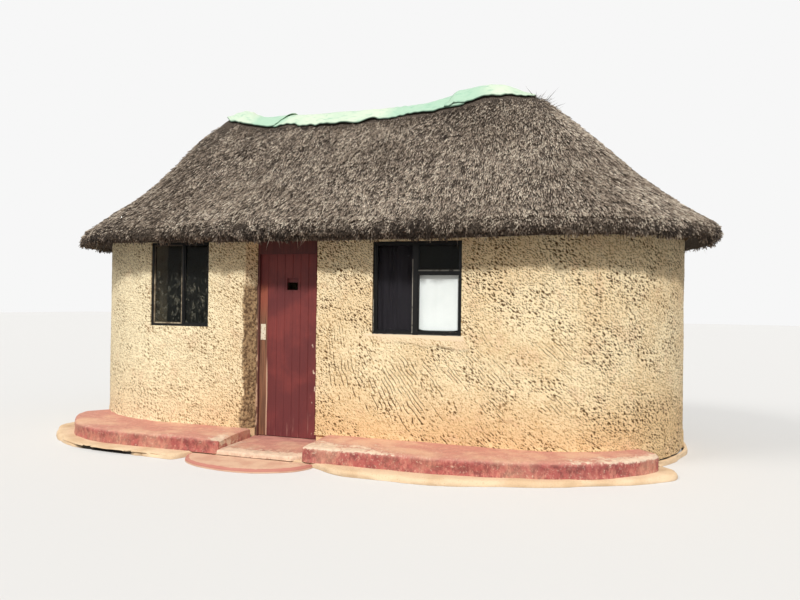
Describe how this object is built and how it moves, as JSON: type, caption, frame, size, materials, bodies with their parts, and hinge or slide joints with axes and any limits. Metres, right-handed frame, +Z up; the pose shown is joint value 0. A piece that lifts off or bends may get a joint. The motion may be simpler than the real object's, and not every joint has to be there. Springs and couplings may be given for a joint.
{
  "type": "thatched mud-walled hut",
  "caption": "Mud-walled hut with two round ends, thatched roof with a green ridge sheet, hinged boarded door, steel windows, red plinth and steps",
  "frame": {"origin": "On the ground under the middle of the room", "axes": "+X along the front to the right, +Y from the front to the back, +Z up"},
  "size_m": [8.009, 4.717, 4.2445],
  "materials": {
    "pale_cement": "rough sandy cement",
    "floor_cement": "smoothed floor screed",
    "step_paint": "worn red oxide on cement",
    "plinth_paint": "worn red oxide on cement",
    "mud_plaster": "rough hand-thrown mud plaster",
    "frame_paint": "dark weathered paint",
    "door_paint": "worn maroon paint",
    "cream_plate": "dull cream paint",
    "lock_steel": "dull aged steel",
    "window_paint": "chipped black paint",
    "window_glass": "dusty clear glass",
    "dark_cloth": "dark purple cloth",
    "white_cloth": "white cloth",
    "pole_wood": "barked poles",
    "lath_wood": "split laths",
    "thatch_straw": "weathered grey-brown straw",
    "green_sheet": "faded mint-green woven plastic sheet"
  },
  "bodies": {
    "hut": {"footing": "pale_cement", "floor_slab": "floor_cement", "upper_step": "step_paint", "lower_step": "step_paint", "plinth_front_left": "plinth_paint", "plinth_front_right": "plinth_paint", "plinth_left_end": "plinth_paint", "plinth_right_end": "plinth_paint", "front_wall_left": "mud_plaster", "front_wall_right": "mud_plaster", "wall_over_door": "mud_plaster", "back_wall": "mud_plaster", "left_end_wall_front": "mud_plaster", "left_end_wall_back": "mud_plaster", "right_end_wall_front": "mud_plaster", "right_end_wall_back": "mud_plaster", "door_frame": "frame_paint", "hinge_frame_plates": "lock_steel", "left_window_frame": "window_paint", "left_window_sashes": "window_paint", "left_window_panes": "window_glass", "right_window_frame": "window_paint", "right_window_sashes": "window_paint", "right_window_panes": "window_glass", "curtain_wire": "lock_steel", "dark_curtain": "dark_cloth", "white_curtain": "white_cloth", "ridge_pole": "pole_wood", "slope_poles": "pole_wood", "end_poles": "pole_wood", "slope_laths": "lath_wood", "end_laths": "lath_wood", "thatch_front": "thatch_straw", "thatch_back": "thatch_straw", "thatch_left_end": "thatch_straw", "thatch_right_end": "thatch_straw", "ridge_sheet_left": "green_sheet", "ridge_sheet_middle": "green_sheet", "ridge_sheet_right": "green_sheet"},
    "door": {"door_leaf": "door_paint", "door_ledges": "door_paint", "lock_plate": "cream_plate", "rim_lock": "lock_steel", "hinge_leaf_plates": "lock_steel"}
  },
  "joints": [
    {"name": "door_hinge", "type": "hinge", "parent": "hut", "child": "door", "pos_m": [-0.1075, -1.447, 1.108], "axis": [0, 0, -1], "range_deg": [0, 100]}
  ]
}
